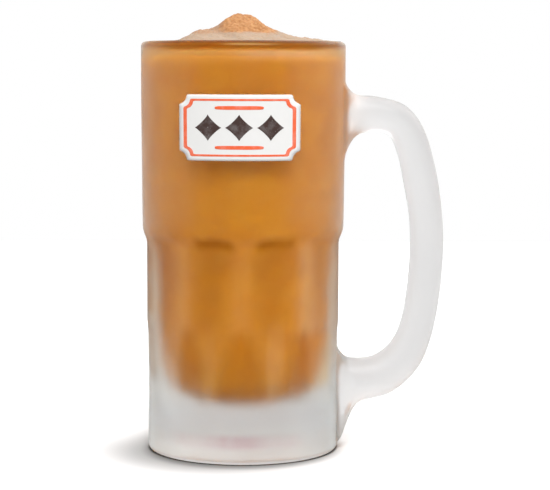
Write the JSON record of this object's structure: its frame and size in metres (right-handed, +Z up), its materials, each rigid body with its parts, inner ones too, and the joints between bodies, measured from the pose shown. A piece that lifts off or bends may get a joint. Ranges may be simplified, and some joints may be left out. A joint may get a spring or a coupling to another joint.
{
  "type": "root beer milkshake in a glass mug",
  "caption": "Milkshake filling a tall frosted glass mug with pressed panels, a D handle and a mound of froth over the rim.",
  "frame": {"origin": "centre of the mug's flat underside, on the mug's axis", "axes": "+Z up along the mug's axis, +X towards the handle, -Y towards the pictured side"},
  "size_m": [0.1355, 0.0914, 0.1957],
  "materials": {
    "frosted_glass": "frosted, satin",
    "milkshake": "opaque orange-tan drink behind glass",
    "froth": "soft, finely bubbled foam"
  },
  "bodies": {
    "root": {"glass_mug": "frosted_glass", "milkshake": "milkshake", "froth": "froth"}
  },
  "joints": []
}
